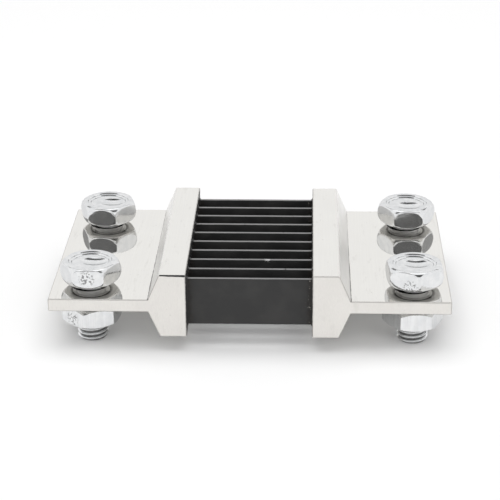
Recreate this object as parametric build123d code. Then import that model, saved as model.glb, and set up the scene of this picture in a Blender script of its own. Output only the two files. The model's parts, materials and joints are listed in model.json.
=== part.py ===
from build123d import *

import os
from math import cos, pi

# A busbar current shunt: two plated metal end blocks joined by ten upright resistance strips.
# Each block runs out into a flat terminal lug with two loose M10 bolts and nuts.
# Millimetres, +Z up, +X along the current path, the front of the object towards -Y.
# The origin lies on the surface that the four bolt tips stand on, under the middle of the shunt.

# End blocks
block_gap = 39.4  # free length of the strips, from one inner face to the other
block_depth = 75.0  # along Y
block_height = 21.2
land_width = 8.35  # flat top and flat bottom of a block, along X
root_width = 12.0  # from the inner face to the root of the lug
lug_length = 31.3  # from the root of the lug to its tip
lug_thickness = 4.2
edge_break = 0.3  # small bevel along the outer edges of a block

# Terminal holes, two through each lug
hole_diameter = 11.5
hole_inset = 11.8  # from the tip of the lug to the middle of a hole
hole_spacing = 51.0  # between the two holes of one lug, along Y
hole_break = 0.35

# Resistance strips and their brazed seats
strip_count = 10
strip_pitch = 7.35
strip_thickness = 1.2
strip_height = 15.6
strip_edge_break = 0.12
seat_depth = 5.0  # of the blind slot that holds the end of a strip
braze_clearance = 0.2  # all round the end of a strip in its slot
braze_fillet = 0.45  # reach of the filler outside the slot
braze_lip = 0.06  # thickness of the filler where it runs out on the strip

# Bolts and nuts
thread_diameter = 9.85
pitch_diameter = 9.03  # where the threads of bolt and nut meet
neck_diameter = 9.5  # plain neck under the head
neck_length = 2.6
bolt_length = 20.0  # under the head
across_flats = 17.0
head_height = 6.5
head_gap = 1.9  # from the lug up to the head: the bolts stand loose
tip_bevel = 0.9
nut_height = 7.75  # with its round bearing face
bearing_height = 1.6
bearing_diameter = 15.4
bore_bevel = 0.45
thread_clearance = 0.05  # between the two threads, on the radius
bolt_shift_x = 0.55  # how far the bolts stand off the middle of their holes
bolt_shift_y = -0.3

# How the ends of a head or nut are turned off: distance in from the corners, and down from the end
head_rounding = [(1.72, 0.0), (1.07, 0.3), (0.52, 0.95), (0.0, 2.2)]
nut_rounding = [(1.72, 0.0), (0.0, 1.0)]

# Forged recess in the top of a head: radius and depth where the wall of each of its two steps turns
recess = [(6.95, 0.0), (6.75, 0.36), (6.05, 0.36), (5.85, 0.72)]

# Turn of each head and nut about its own axis, in degrees
head_turn = {"front_left": 1.0, "back_left": -9.5, "front_right": 36.0, "back_right": 3.0}
nut_turn = {"front_left": 20.0, "back_left": 41.0, "front_right": 4.0, "back_right": 13.0}

# Levels and places that follow from the sizes above
tip_out = bolt_length - head_gap - lug_thickness - nut_height
nut_top_z = tip_out + nut_height
lug_mid_z = nut_top_z + lug_thickness / 2
head_bottom_z = bolt_length
inner_x = block_gap / 2
land_x = inner_x + land_width
root_x = inner_x + root_width
tip_x = root_x + lug_length
hole_x = tip_x - hole_inset
hole_y = hole_spacing / 2
corner_radius = across_flats / 2 / cos(pi / 6)


def turned(points):
    """A solid of revolution about Z from a closed outline of radius and height."""
    return revolve(Plane.XZ * make_face(Polyline(points, close=True)), Axis.Z)


def strip_y(index):
    """Middle plane of one strip, counted from the front."""
    return (index - (strip_count - 1) / 2) * strip_pitch


def right_block_profile():
    """Section of the right block: bevelled back above and below the lug."""
    half_block = block_height / 2
    half_lug = lug_thickness / 2
    return [
        (inner_x, lug_mid_z - half_block),
        (land_x, lug_mid_z - half_block),
        (root_x, lug_mid_z - half_lug),
        (tip_x, lug_mid_z - half_lug),
        (tip_x, lug_mid_z + half_lug),
        (root_x, lug_mid_z + half_lug),
        (land_x, lug_mid_z + half_block),
        (inner_x, lug_mid_z + half_block),
    ]


def seat_slot(index):
    """Room that one strip and its filler take up in the right block."""
    slot = Box(
        seat_depth,
        strip_thickness + 2 * braze_clearance,
        strip_height + 2 * braze_clearance,
    )
    return Pos(inner_x + seat_depth / 2, strip_y(index), lug_mid_z) * slot


def terminal_hole(y):
    """One clearance hole through the right lug, with both rims broken."""
    radius = hole_diameter / 2
    rim = radius + hole_break
    half = lug_thickness / 2
    outline = [
        (0, -half),
        (rim, -half),
        (radius, hole_break - half),
        (radius, half - hole_break),
        (rim, half),
        (0, half),
    ]
    return Pos(hole_x, y, lug_mid_z) * turned(outline)


def end_block():
    """The right end block, made of one piece with its terminal lug."""
    section = Plane.XZ * make_face(Polyline(right_block_profile(), close=True))
    block = extrude(section, amount=block_depth / 2, both=True)
    outer_edges = block.edges().filter_by(lambda edge: abs(edge.center().X - root_x) > edge_break)
    block = chamfer(outer_edges, edge_break)
    for index in range(strip_count):
        block -= seat_slot(index)
    for y in (-hole_y, hole_y):
        block -= terminal_hole(y)
    return block


def resistor_strip(index):
    """One resistance strip, from the floor of one slot to the floor of the other."""
    length = block_gap + 2 * (seat_depth - braze_clearance)
    strip = Box(length, strip_thickness, strip_height)
    strip = chamfer(strip.edges().filter_by(Axis.X), strip_edge_break)
    return Pos(0, strip_y(index), lug_mid_z) * strip


def braze_joint(index):
    """Filler round the end of one strip in the right block, with its small outer fillet."""
    reach = braze_fillet - braze_lip
    base = Rectangle(strip_thickness + 2 * braze_fillet, strip_height + 2 * braze_fillet)
    face = Plane(origin=(inner_x, strip_y(index), lug_mid_z), x_dir=(0, 1, 0), z_dir=(-1, 0, 0))
    fillet = extrude(face * base, amount=reach, taper=45)
    return seat_slot(index) + fillet - resistor_strip(index)


def braze_row():
    """The ten joints of the right block."""
    return Compound([braze_joint(index).solid() for index in range(strip_count)])


def hexagon(bottom, top, turn, rounding):
    """Hexagon bar whose corners are turned off at both ends."""
    bar = RegularPolygon(across_flats / 2, 6, major_radius=False, rotation=turn)
    bar = extrude(Pos(0, 0, bottom) * bar, amount=top - bottom)
    lower = [(corner_radius - inward, bottom + along) for inward, along in rounding]
    upper = [(corner_radius - inward, top - along) for inward, along in reversed(rounding)]
    return bar & turned([(0, bottom)] + lower + upper + [(0, top)])


def bolt(turn):
    """Hexagon bolt on its own axis, standing on its tip.

    Below its nut the stem has the thread's outer diameter. Inside the nut and the lug, where the
    nut's own thread fills the grooves or nothing shows, it has the pitch diameter."""
    head_top = head_bottom_z + head_height
    head = hexagon(head_bottom_z, head_top, turn, head_rounding)
    hollow = [(radius, head_top - depth) for radius, depth in recess]
    head -= turned([(0, head_top)] + hollow + [(0, hollow[-1][1])])
    thread = thread_diameter / 2
    pitch = pitch_diameter / 2
    neck = neck_diameter / 2
    neck_z = head_bottom_z - neck_length
    stem = turned(
        [
            (0, 0),
            (thread - tip_bevel, 0),
            (thread, tip_bevel),
            (thread, tip_out),
            (pitch, tip_out),
            (pitch, neck_z),
            (neck, neck_z),
            (neck, head_bottom_z),
            (0, head_bottom_z),
        ]
    )
    return head + stem


def nut(turn):
    """Hexagon nut on its own axis, its round bearing face up against the lug."""
    hexagon_top = nut_top_z - bearing_height
    body = hexagon(tip_out, hexagon_top, turn, nut_rounding)
    bearing = Cylinder(bearing_diameter / 2, bearing_height)
    bearing = Pos(0, 0, hexagon_top + bearing_height / 2) * bearing
    bore = pitch_diameter / 2 + thread_clearance
    rim = bore + bore_bevel
    drill = turned(
        [
            (0, tip_out),
            (rim, tip_out),
            (bore, tip_out + bore_bevel),
            (bore, nut_top_z - bore_bevel),
            (rim, nut_top_z),
            (0, nut_top_z),
        ]
    )
    return body + bearing - drill


def terminals():
    """Name and place of the four bolts."""
    places = {}
    for row, y in (("front", -hole_y), ("back", hole_y)):
        for side, x in (("left", -hole_x), ("right", hole_x)):
            places[f"{row}_{side}"] = Pos(x + bolt_shift_x, y + bolt_shift_y, 0)
    return places


def build():
    """Every node of the shunt, by name."""
    right_block = end_block()
    right_braze = braze_row()
    nodes = {
        "end_block_left": mirror(right_block, Plane.YZ),
        "end_block_right": right_block,
        "braze_left": mirror(right_braze, Plane.YZ),
        "braze_right": right_braze,
    }
    for index in range(strip_count):
        nodes[f"resistor_strip_{index + 1:02d}"] = resistor_strip(index)
    for name, place in terminals().items():
        nodes[f"terminal_bolt_{name}"] = place * bolt(head_turn[name])
        nodes[f"terminal_nut_{name}"] = place * nut(nut_turn[name])
    return nodes


os.makedirs("parts", exist_ok=True)
for node_name, node in build().items():
    export_step(node, f"parts/{node_name}.step")
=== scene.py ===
import json
import math

import bpy
import numpy as np
from mathutils import Matrix, Vector


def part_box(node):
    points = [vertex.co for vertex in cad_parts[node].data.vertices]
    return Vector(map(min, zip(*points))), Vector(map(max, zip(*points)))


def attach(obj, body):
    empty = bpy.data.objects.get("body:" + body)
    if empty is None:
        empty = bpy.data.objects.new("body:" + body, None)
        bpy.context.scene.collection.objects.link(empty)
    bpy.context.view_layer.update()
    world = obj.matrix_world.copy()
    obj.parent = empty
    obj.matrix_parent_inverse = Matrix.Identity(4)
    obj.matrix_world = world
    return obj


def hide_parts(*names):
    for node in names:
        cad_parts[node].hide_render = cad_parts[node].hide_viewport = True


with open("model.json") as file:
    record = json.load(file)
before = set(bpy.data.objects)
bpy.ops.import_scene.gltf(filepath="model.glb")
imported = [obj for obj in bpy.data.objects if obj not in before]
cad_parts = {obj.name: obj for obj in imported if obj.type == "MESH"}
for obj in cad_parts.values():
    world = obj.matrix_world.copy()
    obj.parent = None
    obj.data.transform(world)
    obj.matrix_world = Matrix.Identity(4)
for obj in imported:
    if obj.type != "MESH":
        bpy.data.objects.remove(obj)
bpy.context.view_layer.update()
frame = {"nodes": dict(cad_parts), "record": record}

# A busbar current shunt in metres, +Z up, the front towards -Y.
# The blocks, strips, filler and nuts are the frame's own solids with worked finishes.
# Four bolts with rolled threads take the place of the frame's plain ones.

MM = 0.001
SECTOR = math.radians(60)  # from one corner of a hexagon to the next

# Bolts, the same as in the frame
HEAD_HEIGHT = 6.5 * MM
ACROSS_FLATS = 17.0 * MM
THREAD_DIAMETER = 9.85 * MM
NECK_DIAMETER = 9.5 * MM
NECK_LENGTH = 2.6 * MM
TIP_BEVEL = 0.9 * MM
HEAD_TURN = {"front_left": 1.0, "back_left": -9.5, "front_right": 36.0, "back_right": 3.0}

# How the ends of a head are turned off, in mm: radius, and distance from the end face
HEAD_PROFILE = ((8.10, 0.0), (8.75, 0.3), (9.30, 0.95), (9.82, 2.2))
CORNER_ROUNDING = 0.12 * MM
CAP_ROUNDING = 0.35 * MM

# Rolled thread. A flank starts and ends at these shares of half a pitch from the middle of a root.
THREAD_PITCH = 1.5 * MM
THREAD_DEPTH = 0.92 * MM
FLANK_START = 0.16
FLANK_END = 0.82
FLANK_SOFTNESS = 0.4
THREAD_RUN_OUT = 2.4 * MM

# Cup in the tip of a bolt, in mm: radius and height of its rings, and the height of its middle
TIP_CUP = ((1.2, 0.45), (2.8, 0.16), (3.6, 0.02))
TIP_CUP_DEPTH = 0.55

# Flare of the neck under the head, in mm: how far out its rings lie, and how fast it curves down
NECK_FLARE = (0.0, 0.1, 0.25)
FLARE_CURVE = 2.0

# Forged recess in the top of a head: start and drop of its two steps, and the width of their walls
RECESS_STEPS = ((6.95 * MM, 0.36 * MM), (6.05 * MM, 0.36 * MM))
RECESS_WALL = 0.26 * MM
RECESS_LEVEL = 0.05  # share of a wall's width that is still level at each of its ends
RECESS_SOFTNESS = 0.15

# Oval dimple in the floor of each recess, in mm: its place from the bolt's axis, and its depth
DIMPLE_RADIUS = 3.2 * MM
DIMPLE_STRETCH = 0.3  # how much longer it is along X than along Y
DIMPLES = {
    "front_left": (1.25, 0.48, 0.62),
    "back_left": (1.4, 0.0, 0.56),
    "front_right": (0.65, 0.68, 0.62),
    "back_right": (0.75, -1.19, 0.62),
}

# Where the rings and points of a bolt's skin lie
THREAD_STEP = 0.1 * MM  # from one ring of the stem to the next
SECTOR_POINTS = 30
CORNER_CROWDING = 1.5  # 1 would space the points of a sector evenly
HEAD_CLIMBS = ((-29, -11, 20), (-9, 9, 9), (11, 25, 32))  # in degrees: from, to, number of rings
HALVINGS = 40  # in the search for the surface of a head
RECESS_RINGS = (0, 0.04, 0.12, 0.35, 0.65, 0.88, 0.96, 1)  # shares of a recess wall's width
FLOOR_RINGS = 6  # between the lowest wall of a recess and its dimple
DIMPLE_RINGS = (1.02, 1.0, 0.98, 0.93, 0.85, 0.75, 0.65, 0.55, 0.45, 0.35, 0.25, 0.15, 0.06)
SHARP_EDGE = math.radians(50)

# End blocks, the same as in the frame. The first two run from the inner face out along X.
LAND_WIDTH = 8.35 * MM
ROOT_WIDTH = 12.0 * MM
LUG_THICKNESS = 4.2 * MM

# Rounding that the finishes give to the edges of the frame's own solids
BLOCK_ROUNDING = 0.2 * MM
STRIP_ROUNDING = 0.12 * MM
NUT_ROUNDING = 0.25 * MM

# Marks on the blocks, painted shade and a painted dark reflection among them. A pair is the least and
# the most, or the front and the back.
BLACK_EDGE = (-0.18 * MM, 0.32 * MM)  # how far out from the inner face a block is black
# Painted dark reflection along the front top edge of the left block
DARK_REFLECTION_WIDTH = (0.34 * MM, 0.66 * MM)
DARK_REFLECTION_WANDER = 0.12 * MM
# Painted shade and dirt in the creases between the bevels and the lugs
SHADE_AND_DIRT_REACH = (0.24 * MM, 0.07 * MM)
SHADE_AND_DIRT_BACK = 15.0 * MM  # where it reaches least, along Y
SHADE_AND_DIRT_DEPTH = 0.1 * MM

# Marks on the strips: flux near the blocks, and bare alloy along the top edge
FLUX_REACH = 3.2 * MM
FLUX_FADE = (-0.4 * MM, 0.5 * MM)  # from an inner face, where the flux reaches least
WEAR_DEPTH = (-0.04 * MM, 0.10 * MM)  # least and most, with whole paint below 0

# Burr on the top edge of the third strip
BURR_X = 5.3 * MM
BURR_REACH = 3.2 * MM  # each way along the edge
BURR_DEPTH = 0.7 * MM
BURR_ACROSS = 1.0 * MM  # from the front face of the strip

# Pitted patches on the heads and nuts: their middles in mm, and where they start to fade and end
PITTED = ((-50.9, -34.3, 23.6), (50.4, -34.0, 21.4), (-56.0, -32.0, 9.0))
PITTED_FADE = (1.6 * MM, 3.2 * MM)

# Where the painted shade under a head, next to its stem, starts to fade and ends, from the axis of its
# bolt
STEM_SHADE_FADE = (6.2 * MM, 7.0 * MM)

# Painted light and shade: colours of the plating on its level, upright and slanting faces, its darkest
# and its brightest
LEVEL_PLATING = ((0.795, 0.783, 0.755, 1), (0.82, 0.81, 0.78, 1))
SHADED_END_PLATING = ((0.75, 0.73, 0.70, 1), (0.80, 0.78, 0.745, 1))
LIT_SLANT_PLATING = ((0.80, 0.79, 0.77, 1), (0.87, 0.86, 0.84, 1))
# Painted shade on the edge breaks between the faces
SHADED_EDGE = (0.56, 0.545, 0.52, 1)
SCUFFED = (0.64, 0.625, 0.59, 1)

# Camera, solved from the corners of the end blocks in the photo. Its last three values say how
# far the middle of the lugs lies to the right of its line of sight, above it, and away from it.
PHOTO_SIZE = 500  # pixels
FOCAL_PIXELS = 1668.2
SENSOR = 36.0  # mm
ELEVATION = math.radians(23.44)
YAW = math.radians(-2.088)
ROLL = math.radians(0.362)
SHIFT_RIGHT = 0.969 * MM
SHIFT_UP = -2.865 * MM
DISTANCE = 553.872 * MM

# White table: its colour, and the glow that the camera and reflections see on it, which goes
# from the first value to the second between these two distances from the object
TABLE_REACH = 3.0
TABLE_WHITE = 0.92
TABLE_GLOW = (0.04, 0.29)
GLOW_DISTANCES = (0.3, 1.8)

# The studio walls as light on the object: their middle level, and what the front has above it
WALL_LIGHT = 0.66
FRONT_LIGHT = 0.42

# The lamp above, and the cards that reflections show on the walls
LAMP_SIDE = 1.1
LAMP_PLACE = (0, 0.05, 1.1)
LAMP_RADIANCE = 1.75
ROOM_RADIUS = 1.5
CARD_COLUMNS = 16
CARD_ROWS = 6
CARD_MIDDLE = 0.35  # share of a card's half width that has the level of its middle


def middle_of(node):
    """Middle of the box of one node of the frame."""
    low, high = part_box(node)
    return (low + high) / 2


# Sizes and places read from the frame
block_low, block_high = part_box("end_block_right")
lug_middle = (block_high.z + block_low.z) / 2
lug_top = lug_middle + LUG_THICKNESS / 2
inner_x = block_low.x
land_x = inner_x + LAND_WIDTH
root_x = inner_x + ROOT_WIDTH
strip_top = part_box("resistor_strip_01")[1].z
burr_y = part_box("resistor_strip_03")[0].y
bolt_low, bolt_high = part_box("terminal_bolt_front_left")
bolt_length = bolt_high.z - bolt_low.z - HEAD_HEIGHT
neck_z = bolt_length - NECK_LENGTH
first_bolt = middle_of("terminal_bolt_front_left")
last_bolt = middle_of("terminal_bolt_back_right")
bolt_shift = (first_bolt + last_bolt) / 2
bolt_x = last_bolt.x - bolt_shift.x
bolt_y = last_bolt.y - bolt_shift.y


class Graph:
    """The shader nodes of one material or world, with short calls that add to them."""

    def __init__(self, owner, output="ShaderNodeOutputMaterial"):
        owner.use_nodes = True
        self.owner = owner
        self.tree = owner.node_tree
        self.tree.nodes.clear()
        self.output = self.tree.nodes.new(output)

    def add(self, kind, inputs=None, **settings):
        """A new node. Inputs is a dictionary of socket to value or to another node's socket."""
        node = self.tree.nodes.new(kind)
        for key, value in settings.items():
            setattr(node, key, value)
        for key, value in (inputs or {}).items():
            self.feed(node.inputs[key], value)
        return node

    def feed(self, socket, value):
        if isinstance(value, bpy.types.NodeSocket):
            self.tree.links.new(value, socket)
        else:
            socket.default_value = value

    def finish(self, shader):
        self.tree.links.new(shader, self.output.inputs["Surface"])
        return self.owner

    def position(self):
        """Place in the part's own frame, in metres."""
        return self.add("ShaderNodeTexCoord").outputs["Object"]

    def facing(self):
        """The direction that the surface faces, in its three parts."""
        return self.split(self.add("ShaderNodeNewGeometry").outputs["Normal"])

    def split(self, vector):
        return self.add("ShaderNodeSeparateXYZ", {0: vector}).outputs

    def stretch(self, vector, per_metre):
        """The place times one scale for each axis."""
        node = self.add("ShaderNodeVectorMath", {0: vector, 1: per_metre}, operation="MULTIPLY")
        return node.outputs[0]

    def distance(self, place, spot):
        node = self.add("ShaderNodeVectorMath", {0: place, 1: spot}, operation="DISTANCE")
        return node.outputs["Value"]

    def calc(self, operation, a, b=0.0, c=0.0):
        return self.add("ShaderNodeMath", {0: a, 1: b, 2: c}, operation=operation).outputs[0]

    def absolute(self, value):
        return self.calc("ABSOLUTE", value)

    def plus(self, a, b):
        return self.calc("ADD", a, b)

    def times(self, first, *others):
        for other in others:
            first = self.calc("MULTIPLY", first, other)
        return first

    def times_plus(self, a, b, c):
        """The product of a and b, and c on top of it."""
        return self.calc("MULTIPLY_ADD", a, b, c)

    def largest(self, first, *others):
        for other in others:
            first = self.calc("MAXIMUM", first, other)
        return first

    def below(self, value, limit):
        """1 where the value is below the limit and 0 elsewhere."""
        return self.calc("LESS_THAN", value, limit)

    def above(self, value, limit):
        """1 where the value is above the limit and 0 elsewhere."""
        return self.calc("GREATER_THAN", value, limit)

    def ramp(self, value, low, high, to_low=0.0, to_high=1.0, smooth=True):
        """Value from low..high to to_low..to_high, clamped."""
        inputs = {"Value": value, "From Min": low, "From Max": high, "To Min": to_low, "To Max": to_high}
        kind = "SMOOTHSTEP" if smooth else "LINEAR"
        return self.add("ShaderNodeMapRange", inputs, interpolation_type=kind).outputs["Result"]

    def noise(self, vector, scale=1.0, detail=3.0, roughness=0.5):
        """Noise from 0 to 1, with its scale per metre."""
        inputs = {"Vector": vector, "Scale": scale, "Detail": detail, "Roughness": roughness}
        return self.add("ShaderNodeTexNoise", inputs).outputs["Fac"]

    def mix(self, factor, a, b):
        """Colour a where the factor is 0 and b where it is 1."""
        node = self.add("ShaderNodeMix", data_type="RGBA")
        self.feed(node.inputs["Factor"], factor)
        self.feed(node.inputs["A"], a)
        self.feed(node.inputs["B"], b)
        return node.outputs["Result"]

    def round_edges(self, radius):
        return self.add("ShaderNodeBevel", {"Radius": radius}, samples=6).outputs["Normal"]

    def bump(self, height, distance, normal=None):
        inputs = {"Height": height, "Distance": distance}
        if normal is not None:
            inputs["Normal"] = normal
        return self.add("ShaderNodeBump", inputs).outputs["Normal"]

    def surface(self, inputs):
        return self.add("ShaderNodeBsdfPrincipled", inputs).outputs["BSDF"]

    def emission(self, strength):
        return self.add("ShaderNodeEmission", {"Strength": strength}).outputs[0]

    def blend(self, factor, a, b):
        """Shader a where the factor is 0 and b where it is 1."""
        return self.add("ShaderNodeMixShader", {0: factor, 1: a, 2: b}).outputs[0]


def material_graph(name):
    return Graph(bpy.data.materials.new(name))


def grey(value, warmth=0.0):
    """A neutral colour, a little warm above 0 and a little blue below."""
    return (value * (1 + warmth), value, value * (1 - warmth), 1.0)


def black_paint(graph, place, normal):
    """Satin black paint with a fine orange peel and dusty patches."""
    patches = graph.noise(place, 160, 4)
    peel = graph.noise(place, 2600, 2)
    return graph.surface(
        {
            "Base Color": graph.mix(graph.ramp(patches, 0.35, 0.75), grey(0.022), grey(0.033, 0.02)),
            "Roughness": graph.ramp(patches, 0.3, 0.7, 0.42, 0.55),
            "Specular IOR Level": 0.38,
            "Normal": graph.bump(peel, 0.006 * MM, normal),
        }
    )


def plating(graph, place, facing, end_face, normal):
    """Bright plating over brass: mirror-like tops and lugs, duller bevels and sawn ends, with painted
    light and shade that gives each facing its own colour.
    """
    flat_top = graph.ramp(facing[2], 0.6, 0.9)
    flattest = graph.largest(*facing)
    # Painted shade: edge breaks, which face along no axis, are darker and rougher
    shaded_edge = graph.ramp(flattest, 0.74, 0.88, 1.0, 0.0)
    brushed = graph.noise(graph.stretch(place, (2600, 60, 900)), detail=4)
    clouds = graph.noise(place, 70, 4)
    pits = graph.ramp(graph.noise(place, 1500, 2), 0.72, 0.78)
    scuffs = graph.noise(graph.stretch(place, (420, 90, 150)), detail=5, roughness=0.65)
    scuffs = graph.ramp(scuffs, 0.56, 0.70)

    spread = graph.ramp(graph.times_plus(brushed, 0.5, graph.times(clouds, 0.5)), 0.3, 0.7)
    # Painted light and shade: upright ends darker and slanting bevels lighter than the level tops
    colour = graph.mix(flat_top, graph.mix(spread, *LIT_SLANT_PLATING), graph.mix(spread, *LEVEL_PLATING))
    colour = graph.mix(end_face, colour, graph.mix(spread, *SHADED_END_PLATING))
    colour = graph.mix(shaded_edge, colour, SHADED_EDGE)
    colour = graph.mix(graph.times(scuffs, 0.30), colour, SCUFFED)
    colour = graph.mix(graph.times(pits, 0.45), colour, grey(0.38, 0.03))

    rough = graph.ramp(flat_top, 0.0, 1.0, 0.34, 0.05)
    rough = graph.times_plus(scuffs, 0.05, rough)
    rough = graph.times_plus(shaded_edge, 0.2, rough)
    relief = graph.times_plus(pits, -1.5, brushed)
    depth = graph.ramp(flat_top, 0.0, 1.0, 1.0, 0.14)
    return graph.surface(
        {
            "Base Color": colour,
            "Metallic": graph.ramp(flattest, 0.90, 0.96, 0.6, 1.0),
            "Roughness": rough,
            "Normal": graph.bump(graph.times(relief, depth), 0.006 * MM, normal),
        }
    )


def blackened_face(graph, place):
    """Where the inner faces of the blocks are black like the strips, up to a ragged line."""
    least, most = BLACK_EDGE
    ragged = graph.times_plus(graph.noise(place, 900, 4, 0.7), most - least, inner_x + least)
    return graph.below(graph.absolute(graph.split(place)[0]), ragged)


def front_edge_dark_reflection(graph, place, end_face):
    """Where a painted dark reflection widens along the front top edge of the left block."""
    x, y, z = graph.split(place)
    below_top = graph.calc("SUBTRACT", block_high.z, z)
    from_corner = graph.plus(graph.plus(y, -block_low.y), below_top)
    wander = graph.times_plus(graph.noise(place, 500, 3), 2 * DARK_REFLECTION_WANDER, -DARK_REFLECTION_WANDER)
    width = graph.ramp(x, -land_x, -inner_x, *DARK_REFLECTION_WIDTH, smooth=False)
    dark_reflection = graph.below(graph.plus(from_corner, wander), width)
    return graph.times(dark_reflection, graph.below(x, 0.0), end_face)


def crease_shade_and_dirt(graph, place):
    """Where painted shade and dirt lie in the crease between a bevel and its lug, most of it at the
    front.
    """
    x, y, z = graph.split(place)
    out = graph.plus(graph.absolute(x), -root_x)
    from_crease = graph.largest(graph.absolute(out), graph.plus(z, -lug_top))
    reach = graph.ramp(y, block_low.y, SHADE_AND_DIRT_BACK, *SHADE_AND_DIRT_REACH)
    reach = graph.times(reach, graph.ramp(graph.noise(place, 300, 3), 0.3, 0.6, 0.4, 1.1))
    return graph.times(graph.below(from_crease, reach), graph.above(z, lug_top - SHADE_AND_DIRT_DEPTH))


def plated_block():
    """A plated end block: black inside, with a painted dark reflection on its front edge and painted
    shade with dirt in its creases.
    """
    graph = material_graph("plated_block")
    place = graph.position()
    facing = [graph.absolute(part) for part in graph.facing()]
    end_face = graph.ramp(facing[1], 0.4, 0.6)
    rounded_normal = graph.round_edges(BLOCK_ROUNDING)
    bright = plating(graph, place, facing, end_face, rounded_normal)
    inside = blackened_face(graph, place)
    # Painted dark reflection along the front top edge, drawn in black paint
    dark_reflection = front_edge_dark_reflection(graph, place, end_face)
    # Painted shade and dirt in the creases
    shade_and_dirt = graph.times(crease_shade_and_dirt(graph, place), 0.75)
    dark = graph.largest(inside, dark_reflection, shade_and_dirt)
    return graph.finish(graph.blend(dark, bright, black_paint(graph, place, rounded_normal)))


def flux_coat(graph, place):
    """Dull dark flux, with pale crumbs on the right."""
    crumbs = graph.ramp(graph.noise(place, 1500, 3), 0.64, 0.70)
    crumbs = graph.times(crumbs, graph.above(graph.split(place)[0], 0.0))
    flux = graph.mix(graph.noise(place, 900, 4), grey(0.006), (0.035, 0.03, 0.026, 1))
    return graph.surface(
        {
            "Base Color": graph.mix(crumbs, flux, (0.30, 0.28, 0.25, 1)),
            "Roughness": 0.62,
            "Normal": graph.bump(graph.noise(place, 1500, 4), 0.05 * MM),
        }
    )


def burr(graph, place):
    """How strongly the torn burr on the third strip shows, most of all at its middle."""
    x, y, _ = graph.split(place)
    torn = graph.noise(graph.stretch(place, (1900, 2600, 2600)), detail=3, roughness=0.7)
    off_x = graph.absolute(graph.plus(x, -BURR_X))
    off_y = graph.absolute(graph.plus(y, -burr_y))
    near = graph.ramp(off_x, 0.0, BURR_REACH, 1.0, 0.0)
    return graph.times(near, torn, graph.below(off_y, BURR_ACROSS))


def bare_alloy(graph, place, torn):
    """Filed grey metal, brighter on the burr."""
    filed = graph.noise(graph.stretch(place, (90, 5200, 900)), detail=3)
    wear = graph.mix(graph.ramp(filed, 0.3, 0.7), grey(0.20), grey(0.34))
    return graph.surface(
        {
            "Base Color": graph.mix(graph.ramp(torn, 0.42, 0.50), wear, grey(0.70)),
            "Metallic": 1.0,
            "Roughness": graph.ramp(filed, 0.3, 0.7, 0.3, 0.45),
            "Normal": graph.bump(filed, 0.01 * MM),
        }
    )


def resistor_strip():
    """Satin black paint, worn to bare alloy along the top edge and dark with flux at the joints."""
    graph = material_graph("black_strip")
    place = graph.position()
    x, _, z = graph.split(place)
    paint = black_paint(graph, place, graph.round_edges(STRIP_ROUNDING))
    flux_edge = graph.times_plus(graph.noise(place, 600, 4), FLUX_REACH, graph.absolute(x))
    fluxed = graph.ramp(flux_edge, *[inner_x + fade for fade in FLUX_FADE])
    coat = graph.blend(fluxed, paint, flux_coat(graph, place))
    torn = burr(graph, place)
    least, most = WEAR_DEPTH
    depth = graph.times_plus(graph.noise(place, 520, 4), most - least, least)
    depth = graph.times_plus(graph.ramp(torn, 0.44, 0.56), BURR_DEPTH, depth)
    worn_top = graph.above(graph.plus(z, depth), strip_top)
    return graph.finish(graph.blend(worn_top, coat, bare_alloy(graph, place, torn)))


def braze():
    """Lumpy brazing filler under black paint."""
    graph = material_graph("braze")
    lumps = graph.noise(graph.position(), 900, 4)
    colour = graph.mix(graph.ramp(lumps, 0.4, 0.75), grey(0.008), (0.04, 0.035, 0.03, 1))
    return graph.finish(
        graph.surface(
            {
                "Base Color": colour,
                "Roughness": graph.ramp(lumps, 0.3, 0.7, 0.45, 0.7),
                "Normal": graph.bump(lumps, 0.12 * MM),
            }
        )
    )


def from_bolt(graph, place):
    """Distance from the axis of the nearest bolt."""
    x, y, _ = graph.split(place)
    off_x = graph.plus(graph.absolute(graph.plus(x, -bolt_shift.x)), -bolt_x)
    off_y = graph.plus(graph.absolute(graph.plus(y, -bolt_shift.y)), -bolt_y)
    return graph.calc("SQRT", graph.times_plus(off_x, off_x, graph.times(off_y, off_y)))


def zinc_pits(graph, place):
    """Small pits, in a patch round each of the pitted places."""
    patches = []
    for spot in PITTED:
        off = graph.distance(place, [part * MM for part in spot])
        patches.append(graph.ramp(off, *PITTED_FADE, 1.0, 0.0))
    return graph.times(graph.ramp(graph.noise(place, 1500, 3), 0.54, 0.60), graph.largest(*patches))


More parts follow.
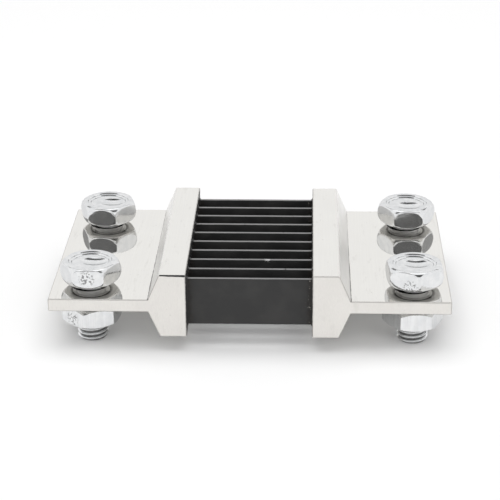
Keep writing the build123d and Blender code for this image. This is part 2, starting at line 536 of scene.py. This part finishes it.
def zinc(name, edge_radius, streaks):
    """Zinc over steel, faintly blue: stained, mottled, pitted and streaked upright.

    Its undersides are dull, with painted light that makes them lighter and painted shade next to the
    stem. Its edges are soft where it has a radius."""
    graph = material_graph(name)
    place = graph.position()
    pits = zinc_pits(graph, place)
    drawn = graph.noise(graph.stretch(place, (1100, 1100, 70)), detail=3)
    drawn = graph.ramp(drawn, 0.35, 0.7)
    # Painted light: undersides are lighter and less metallic than the rest
    lit_underside = graph.ramp(graph.facing()[2], -0.9, -0.6, 1.0, 0.0)
    # Painted shade under the head, next to the stem
    stem_shade = graph.ramp(from_bolt(graph, place), *STEM_SHADE_FADE, 1.0, 0.0)
    mottle = graph.noise(place, 1300, 3, 0.6)

    stains = graph.ramp(graph.noise(place, 420, 4), 0.3, 0.7)
    colour = graph.mix(stains, grey(0.84, -0.006), grey(0.76, -0.016))
    colour = graph.mix(graph.times(pits, 0.8), colour, grey(0.12))
    colour = graph.mix(graph.times(drawn, streaks), colour, grey(0.60))
    colour = graph.mix(lit_underside, colour, graph.mix(stem_shade, grey(0.92), grey(0.16)))

    relief = graph.times_plus(mottle, 0.16, graph.noise(place, 260, 2))
    relief = graph.times_plus(drawn, 0.4 * streaks, relief)
    relief = graph.times_plus(pits, -0.8, relief)
    normal = graph.round_edges(edge_radius) if edge_radius else None
    return graph.finish(
        graph.surface(
            {
                "Base Color": colour,
                "Metallic": graph.calc("SUBTRACT", 1.0, graph.times(lit_underside, 0.9)),
                "Specular Tint": grey(0.8),
                "Roughness": graph.ramp(mottle, 0.3, 0.7, 0.06, 0.14),
                "Normal": graph.bump(relief, 0.035 * MM, normal),
            }
        )
    )


def zinc_stem():
    """Zinc on a bolt's stem: bright crests over roots dark with painted shade and oil, painted shade in
    its hole, and dull above it.
    """
    graph = material_graph("zinc_thread")
    place = graph.position()
    z = graph.split(place)[2]
    crest = THREAD_DIAMETER / 2
    on_crest = graph.ramp(
        from_bolt(graph, place), crest - 0.75 * THREAD_DEPTH, crest - 0.25 * THREAD_DEPTH
    )
    in_hole = graph.above(z, lug_top - LUG_THICKNESS)
    neck = graph.above(z, lug_top)
    # Painted shade and oil in the thread roots, and painted shade inside the lug's hole
    colour = graph.mix(on_crest, grey(0.30), grey(0.80, -0.01))
    colour = graph.mix(in_hole, colour, grey(0.18))
    colour = graph.mix(neck, colour, grey(0.80))
    rough = graph.ramp(graph.noise(place, 500, 3), 0.3, 0.7, 0.14, 0.24)
    return graph.finish(
        graph.surface(
            {
                "Base Color": colour,
                "Metallic": graph.times_plus(neck, -0.5, 1.0),
                "Roughness": graph.times_plus(neck, 0.14, rough),
            }
        )
    )


def softened(rise, softness):
    """A straight rise from 0 to 1, with a share of it replaced by a rise that starts and ends level."""
    return (1 - softness) * rise + softness * rise * rise * (3 - 2 * rise)


def thread_radius(phase):
    """Radius of the rolled thread where the phase runs from 0 to 1 over one pitch."""
    from_root = np.abs(2 * (phase % 1.0) - 1)
    rise = np.clip((from_root - FLANK_START) / (FLANK_END - FLANK_START), 0, 1)
    return THREAD_DIAMETER / 2 - THREAD_DEPTH * (1 - softened(rise, FLANK_SOFTNESS))


def stem_radius(angles, z):
    """Radius of the stem at one height: tip bevel, thread, run-out and plain neck."""
    neck = NECK_DIAMETER / 2
    threaded = thread_radius(z / THREAD_PITCH - angles / (2 * math.pi))
    fade = min((neck_z - z) / THREAD_RUN_OUT, 1.0)
    bevelled = THREAD_DIAMETER / 2 - TIP_BEVEL + z
    return np.minimum(neck + (threaded - neck) * fade, bevelled)


def ring(angles, radius, height, centre=(0.0, 0.0), stretch=0.0):
    """Points all round a centre, with one radius and height or with one of each for every angle.

    The stretch makes the ring longer along X."""
    x = centre[0] + radius * (1 + stretch) * np.cos(angles)
    y = centre[1] + radius * np.sin(angles)
    return np.column_stack((x, y, np.broadcast_to(height, x.shape)))


def skin_angles(turn):
    """Angles of the points in every ring, closest together at the six corners of the head."""
    steps = np.linspace(-1, 1, SECTOR_POINTS + 1)[:-1]
    crowded = np.sign(steps) * (1 - (1 - np.abs(steps)) ** CORNER_CROWDING)
    sector = SECTOR / 2 * (1 - crowded)[::-1]
    return np.concatenate([turn + SECTOR * index + sector for index in range(6)])


def stem_rings(angles):
    """The stem from its cupped tip over the thread and neck to the flare under the head."""
    rings = [ring(angles, radius * MM, height * MM) for radius, height in TIP_CUP]
    for height in np.linspace(0, neck_z, round(neck_z / THREAD_STEP) + 1):
        rings.append(ring(angles, stem_radius(angles, height), height))
    for flare in NECK_FLARE:
        drop = FLARE_CURVE * (NECK_FLARE[-1] - flare) ** 2
        rings.append(ring(angles, NECK_DIAMETER / 2 + flare * MM, bolt_length - drop * MM))
    return rings


def rounded(a, b, radius):
    """Distance from the overlap of two shapes, from the distance to each, with its edge rounded."""
    over = np.hypot(np.maximum(a + radius, 0), np.maximum(b + radius, 0))
    return np.minimum(-radius, np.maximum(a, b)) + over


def from_ends(radius, over):
    """How far a point lies outside the turned ends of a head, from its height over an end face."""
    result = over
    for (near, near_drop), (far, far_drop) in zip(HEAD_PROFILE, HEAD_PROFILE[1:]):
        tilt = math.atan2(far_drop - near_drop, far - near)
        cone = (radius - near * MM) * math.sin(tilt) + (over + near_drop * MM) * math.cos(tilt)
        result = np.maximum(result, cone)
    return result


def head_rings(angles, turn):
    """The outside of the head, from its underside to its top.

    Each point lies on a ray from the middle of the head, where the distance from a hexagon bar
    with turned ends and rounded edges comes to nothing."""
    climb = np.radians(np.concatenate([np.linspace(*part) for part in HEAD_CLIMBS]))[:, None]
    from_flat = np.abs((angles - turn) % SECTOR - SECTOR / 2)[None, :]
    low = np.zeros((len(climb), len(angles)))
    high = np.full_like(low, ACROSS_FLATS)
    for _ in range(HALVINGS):
        reach = (low + high) / 2
        radius = reach * np.cos(climb)
        ends = from_ends(radius, np.abs(reach * np.sin(climb)) - HEAD_HEIGHT / 2)
        near_flat = radius * np.cos(from_flat) - ACROSS_FLATS / 2
        next_flat = radius * np.cos(SECTOR - from_flat) - ACROSS_FLATS / 2
        flats = rounded(near_flat, next_flat, CORNER_ROUNDING)
        inside = rounded(ends, flats, CAP_ROUNDING) < 0
        low = np.where(inside, reach, low)
        high = np.where(inside, high, reach)
    middle = bolt_length + HEAD_HEIGHT / 2
    heights = middle + low * np.sin(climb)
    return [ring(angles, radius, height) for radius, height in zip(low * np.cos(climb), heights)]


def recess_rings(angles, top, dimple):
    """The two forged steps in a head's top face, their floor and the dimple in it.

    It gives the rings and the point at the bottom of the dimple."""
    x, y, dimple_depth = [size * MM for size in dimple]
    level = top
    rings = []
    for start, drop in RECESS_STEPS:
        for way in RECESS_RINGS:
            fall = min(max((way - RECESS_LEVEL) / (1 - 2 * RECESS_LEVEL), 0), 1)
            height = level - drop * softened(fall, RECESS_SOFTNESS)
            rings.append(ring(angles, start - RECESS_WALL * way, height))
        level -= drop
    outer = RECESS_STEPS[-1][0] - RECESS_WALL
    for share in np.linspace(0, 1, FLOOR_RINGS + 2)[1:-1]:
        radius = outer + (DIMPLE_RADIUS - outer) * share
        rings.append(ring(angles, radius, level, (x * share, y * share), DIMPLE_STRETCH * share))
    for share in DIMPLE_RINGS:
        sunk = dimple_depth * max(1 - share * share, 0)
        rings.append(ring(angles, share * DIMPLE_RADIUS, level - sunk, (x, y), DIMPLE_STRETCH))
    return rings, (x, y, level - dimple_depth)


def closed_skin(name, rings, bottom, top, stem_count):
    """A closed mesh from rings of points, with one point at its bottom and one at its top.

    Its first rings, as many as the stem has, take the second material."""
    sides = len(rings[0])
    points = np.concatenate((*rings, [bottom], [top]))
    last = len(rings) - 1
    faces, slots = [], []
    for i in range(sides):
        j = (i + 1) % sides
        faces.append((len(points) - 2, j, i))
        faces.append((len(points) - 1, last * sides + i, last * sides + j))
        slots += [1, 0]
        for k in range(last):
            row = k * sides
            faces.append((row + i, row + j, row + sides + j, row + sides + i))
            slots.append(1 if k < stem_count else 0)
    mesh = bpy.data.meshes.new(name)
    mesh.from_pydata(points.tolist(), [], faces)
    mesh.polygons.foreach_set("material_index", slots)
    mesh.shade_smooth()
    mesh.set_sharp_from_angle(angle=SHARP_EDGE)
    return mesh


def add_object(name, data):
    piece = bpy.data.objects.new(name, data)
    bpy.context.scene.collection.objects.link(piece)
    return piece


def bolt(place, head_finish, stem_finish):
    """The whole bolt as one closed skin of rings, from the tip to the recess in its head."""
    node = f"terminal_bolt_{place}"
    name = f"threaded_bolt_{place}"
    turn = math.radians(HEAD_TURN[place])
    angles = skin_angles(turn)
    stem = stem_rings(angles)
    recess, deepest = recess_rings(angles, bolt_length + HEAD_HEIGHT, DIMPLES[place])
    tip = (0, 0, TIP_CUP_DEPTH * MM)
    mesh = closed_skin(name, stem + head_rings(angles, turn) + recess, tip, deepest, len(stem))
    middle = middle_of(node)
    mesh.transform(Matrix.Translation((middle.x, middle.y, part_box(node)[0].z)))
    mesh.materials.append(head_finish)
    mesh.materials.append(stem_finish)
    piece = add_object(name, mesh)
    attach(piece, "root")
    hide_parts(node)


def dress(finishes):
    """Gives every node of the frame the finish of its slot in the record."""
    for row in frame["record"]["subparts"]:
        data = frame["nodes"][row["node"]].data
        data.materials.clear()
        data.materials.append(finishes[row["material_slot"]])


def stage_mesh(name, vertices, faces, material):
    """A mesh that belongs to the studio and not to the object."""
    mesh = bpy.data.meshes.new(name)
    mesh.from_pydata(vertices, [], faces)
    mesh.materials.append(material)
    piece = add_object(name, mesh)
    return piece


def table():
    """A white table. A little glow keeps it white for the camera and in reflections."""
    graph = material_graph("white_table")
    rays = graph.add("ShaderNodeLightPath").outputs
    seen = graph.largest(rays["Is Camera Ray"], rays["Is Glossy Ray"])
    glow = graph.ramp(graph.distance(graph.position(), (0, 0, 0)), *GLOW_DISTANCES, *TABLE_GLOW)
    diffuse = graph.add("ShaderNodeBsdfDiffuse", {"Color": grey(TABLE_WHITE)}).outputs[0]
    glowing = graph.emission(graph.times(seen, glow))
    both = graph.add("ShaderNodeAddShader", {0: diffuse, 1: glowing}).outputs[0]
    reach = TABLE_REACH
    corners = [(-reach, -reach, 0), (reach, -reach, 0), (reach, reach, 0), (-reach, reach, 0)]
    stage_mesh("table_top", corners, [(0, 1, 2, 3)], graph.finish(both))


def studio_walls():
    """White walls all round, full white to the camera and in reflections.

    As light on the object they are lower, and brighter in front than behind."""
    world = bpy.data.worlds.new("studio")
    world.cycles.sampling_method = "NONE"
    graph = Graph(world, "ShaderNodeOutputWorld")
    as_light = graph.add("ShaderNodeLightPath").outputs["Is Diffuse Ray"]
    direction = graph.split(graph.add("ShaderNodeTexCoord").outputs["Generated"])
    change = graph.times_plus(direction[1], -FRONT_LIGHT, WALL_LIGHT - 1.0)
    strength = graph.times_plus(as_light, change, 1.0)
    walls = graph.add("ShaderNodeBackground", {"Color": grey(1.0), "Strength": strength})
    bpy.context.scene.world = graph.finish(walls.outputs[0])


def card_finish(name, bearings, levels, twice):
    """Light of a card, from the first level at its middle to the second at its two sides.

    With twice, it is white where one surface mirrors it, and shows only by way of two or more."""
    graph = material_graph(name)
    x, y, _ = graph.split(graph.position())
    bearing = graph.calc("ARCTAN2", x, graph.times(y, -1.0))
    middle = math.radians(sum(bearings) / 2)
    half = math.radians(bearings[1] - bearings[0]) / 2
    off = graph.absolute(graph.calc("WRAP", graph.plus(bearing, -middle), math.pi, -math.pi))
    strength = graph.ramp(off, CARD_MIDDLE * half, half, *levels)
    if twice:
        surfaces = graph.add("ShaderNodeLightPath").outputs["Ray Depth"]
        strength = graph.largest(strength, graph.below(surfaces, 1.5))
    return graph.finish(graph.emission(strength))


def room_card(name, bearings, heights, levels, sag=0.0, twice=False):
    """Part of the studio walls as a piece of a sphere, seen only in reflections.

    Bearings run in degrees from the camera's side to the right, and heights from the floor up.
    The sag is how far the card comes down towards its sides, in degrees per square of degrees."""
    middle = sum(bearings) / 2
    vertices, faces = [], []
    for height in np.linspace(*heights, CARD_ROWS + 1):
        for bearing in np.linspace(*bearings, CARD_COLUMNS + 1):
            up = math.radians(height - sag * (bearing - middle) ** 2)
            side = math.radians(bearing)
            out = ROOM_RADIUS * math.cos(up)
            vertices.append((out * math.sin(side), -out * math.cos(side), ROOM_RADIUS * math.sin(up)))
    for row in range(CARD_ROWS):
        for column in range(CARD_COLUMNS):
            corner = row * (CARD_COLUMNS + 1) + column
            above = corner + CARD_COLUMNS + 1
            faces.append((corner, corner + 1, above + 1, above))
    card = stage_mesh(name, vertices, faces, card_finish(name, bearings, levels, twice))
    card.visible_camera = False
    card.visible_diffuse = False
    card.visible_shadow = False


def room():
    """The unlit side of the room behind the camera, dim walls and a rail behind, and a lit ceiling."""
    room_card("unlit_wall", (-60, 60), (14, 36), levels=(0.16, 0.28), twice=True)
    room_card("unlit_ceiling", (-60, 60), (36, 62), levels=(0.10, 0.28))
    room_card("lamp_above", (-180, 180), (80, 90), levels=(1.15, 1.15))
    room_card("lit_ceiling", (90, 270), (62, 80), levels=(1.28, 1.2))
    room_card("dim_wall_right", (112, 142), (10, 33), levels=(0.42, 0.58), twice=True)
    room_card("dim_wall_left", (-152, -128), (10, 33), levels=(0.40, 0.60), twice=True)
    room_card("back_rail", (135, 225), (49, 60), levels=(0.08, 0.3), sag=0.0075)


def softbox():
    """One broad soft lamp straight above. Reflections show the bright cards in its place."""
    lamp = bpy.data.lights.new("softbox", "AREA")
    lamp.shape = "SQUARE"
    lamp.size = LAMP_SIDE
    lamp.energy = LAMP_RADIANCE * math.pi * LAMP_SIDE * LAMP_SIDE
    holder = add_object("softbox", lamp)
    holder.location = LAMP_PLACE
    holder.visible_glossy = False


def camera():
    """The photo's camera, which looks down at the lugs, a little turned and rolled."""
    forward = Vector((0, math.cos(ELEVATION), -math.sin(ELEVATION)))
    up = Vector((0, math.sin(ELEVATION), math.cos(ELEVATION)))
    right = Vector((1, 0, 0))
    place = -SHIFT_RIGHT * right - SHIFT_UP * up - DISTANCE * forward
    rolled_right = math.cos(ROLL) * right - math.sin(ROLL) * up
    rolled_up = math.sin(ROLL) * right + math.cos(ROLL) * up
    turn = Matrix.Rotation(-YAW, 3, "Z")
    axes = Matrix((turn @ rolled_right, turn @ rolled_up, turn @ -forward)).transposed()
    data = bpy.data.cameras.new("camera")
    data.sensor_width = SENSOR
    data.lens = FOCAL_PIXELS / PHOTO_SIZE * SENSOR
    data.clip_start = 0.05
    data.clip_end = 20
    holder = add_object("camera", data)
    holder.matrix_world = Matrix.Translation(turn @ place + Vector((0, 0, lug_middle))) @ axes.to_4x4()
    bpy.context.scene.camera = holder


head_zinc = zinc("zinc_head", edge_radius=0.0, streaks=0.15)
nut_zinc = zinc("zinc_nut", edge_radius=NUT_ROUNDING, streaks=0.3)
stem_zinc = zinc_stem()
dress(
    {
        "plated_block": plated_block(),
        "black_strip": resistor_strip(),
        "braze": braze(),
        "zinc_bolt": nut_zinc,
    }
)
for bolt_place in HEAD_TURN:
    bolt(bolt_place, head_zinc, stem_zinc)
table()
studio_walls()
room()
softbox()
camera()
bpy.context.scene.view_settings.view_transform = "Standard"
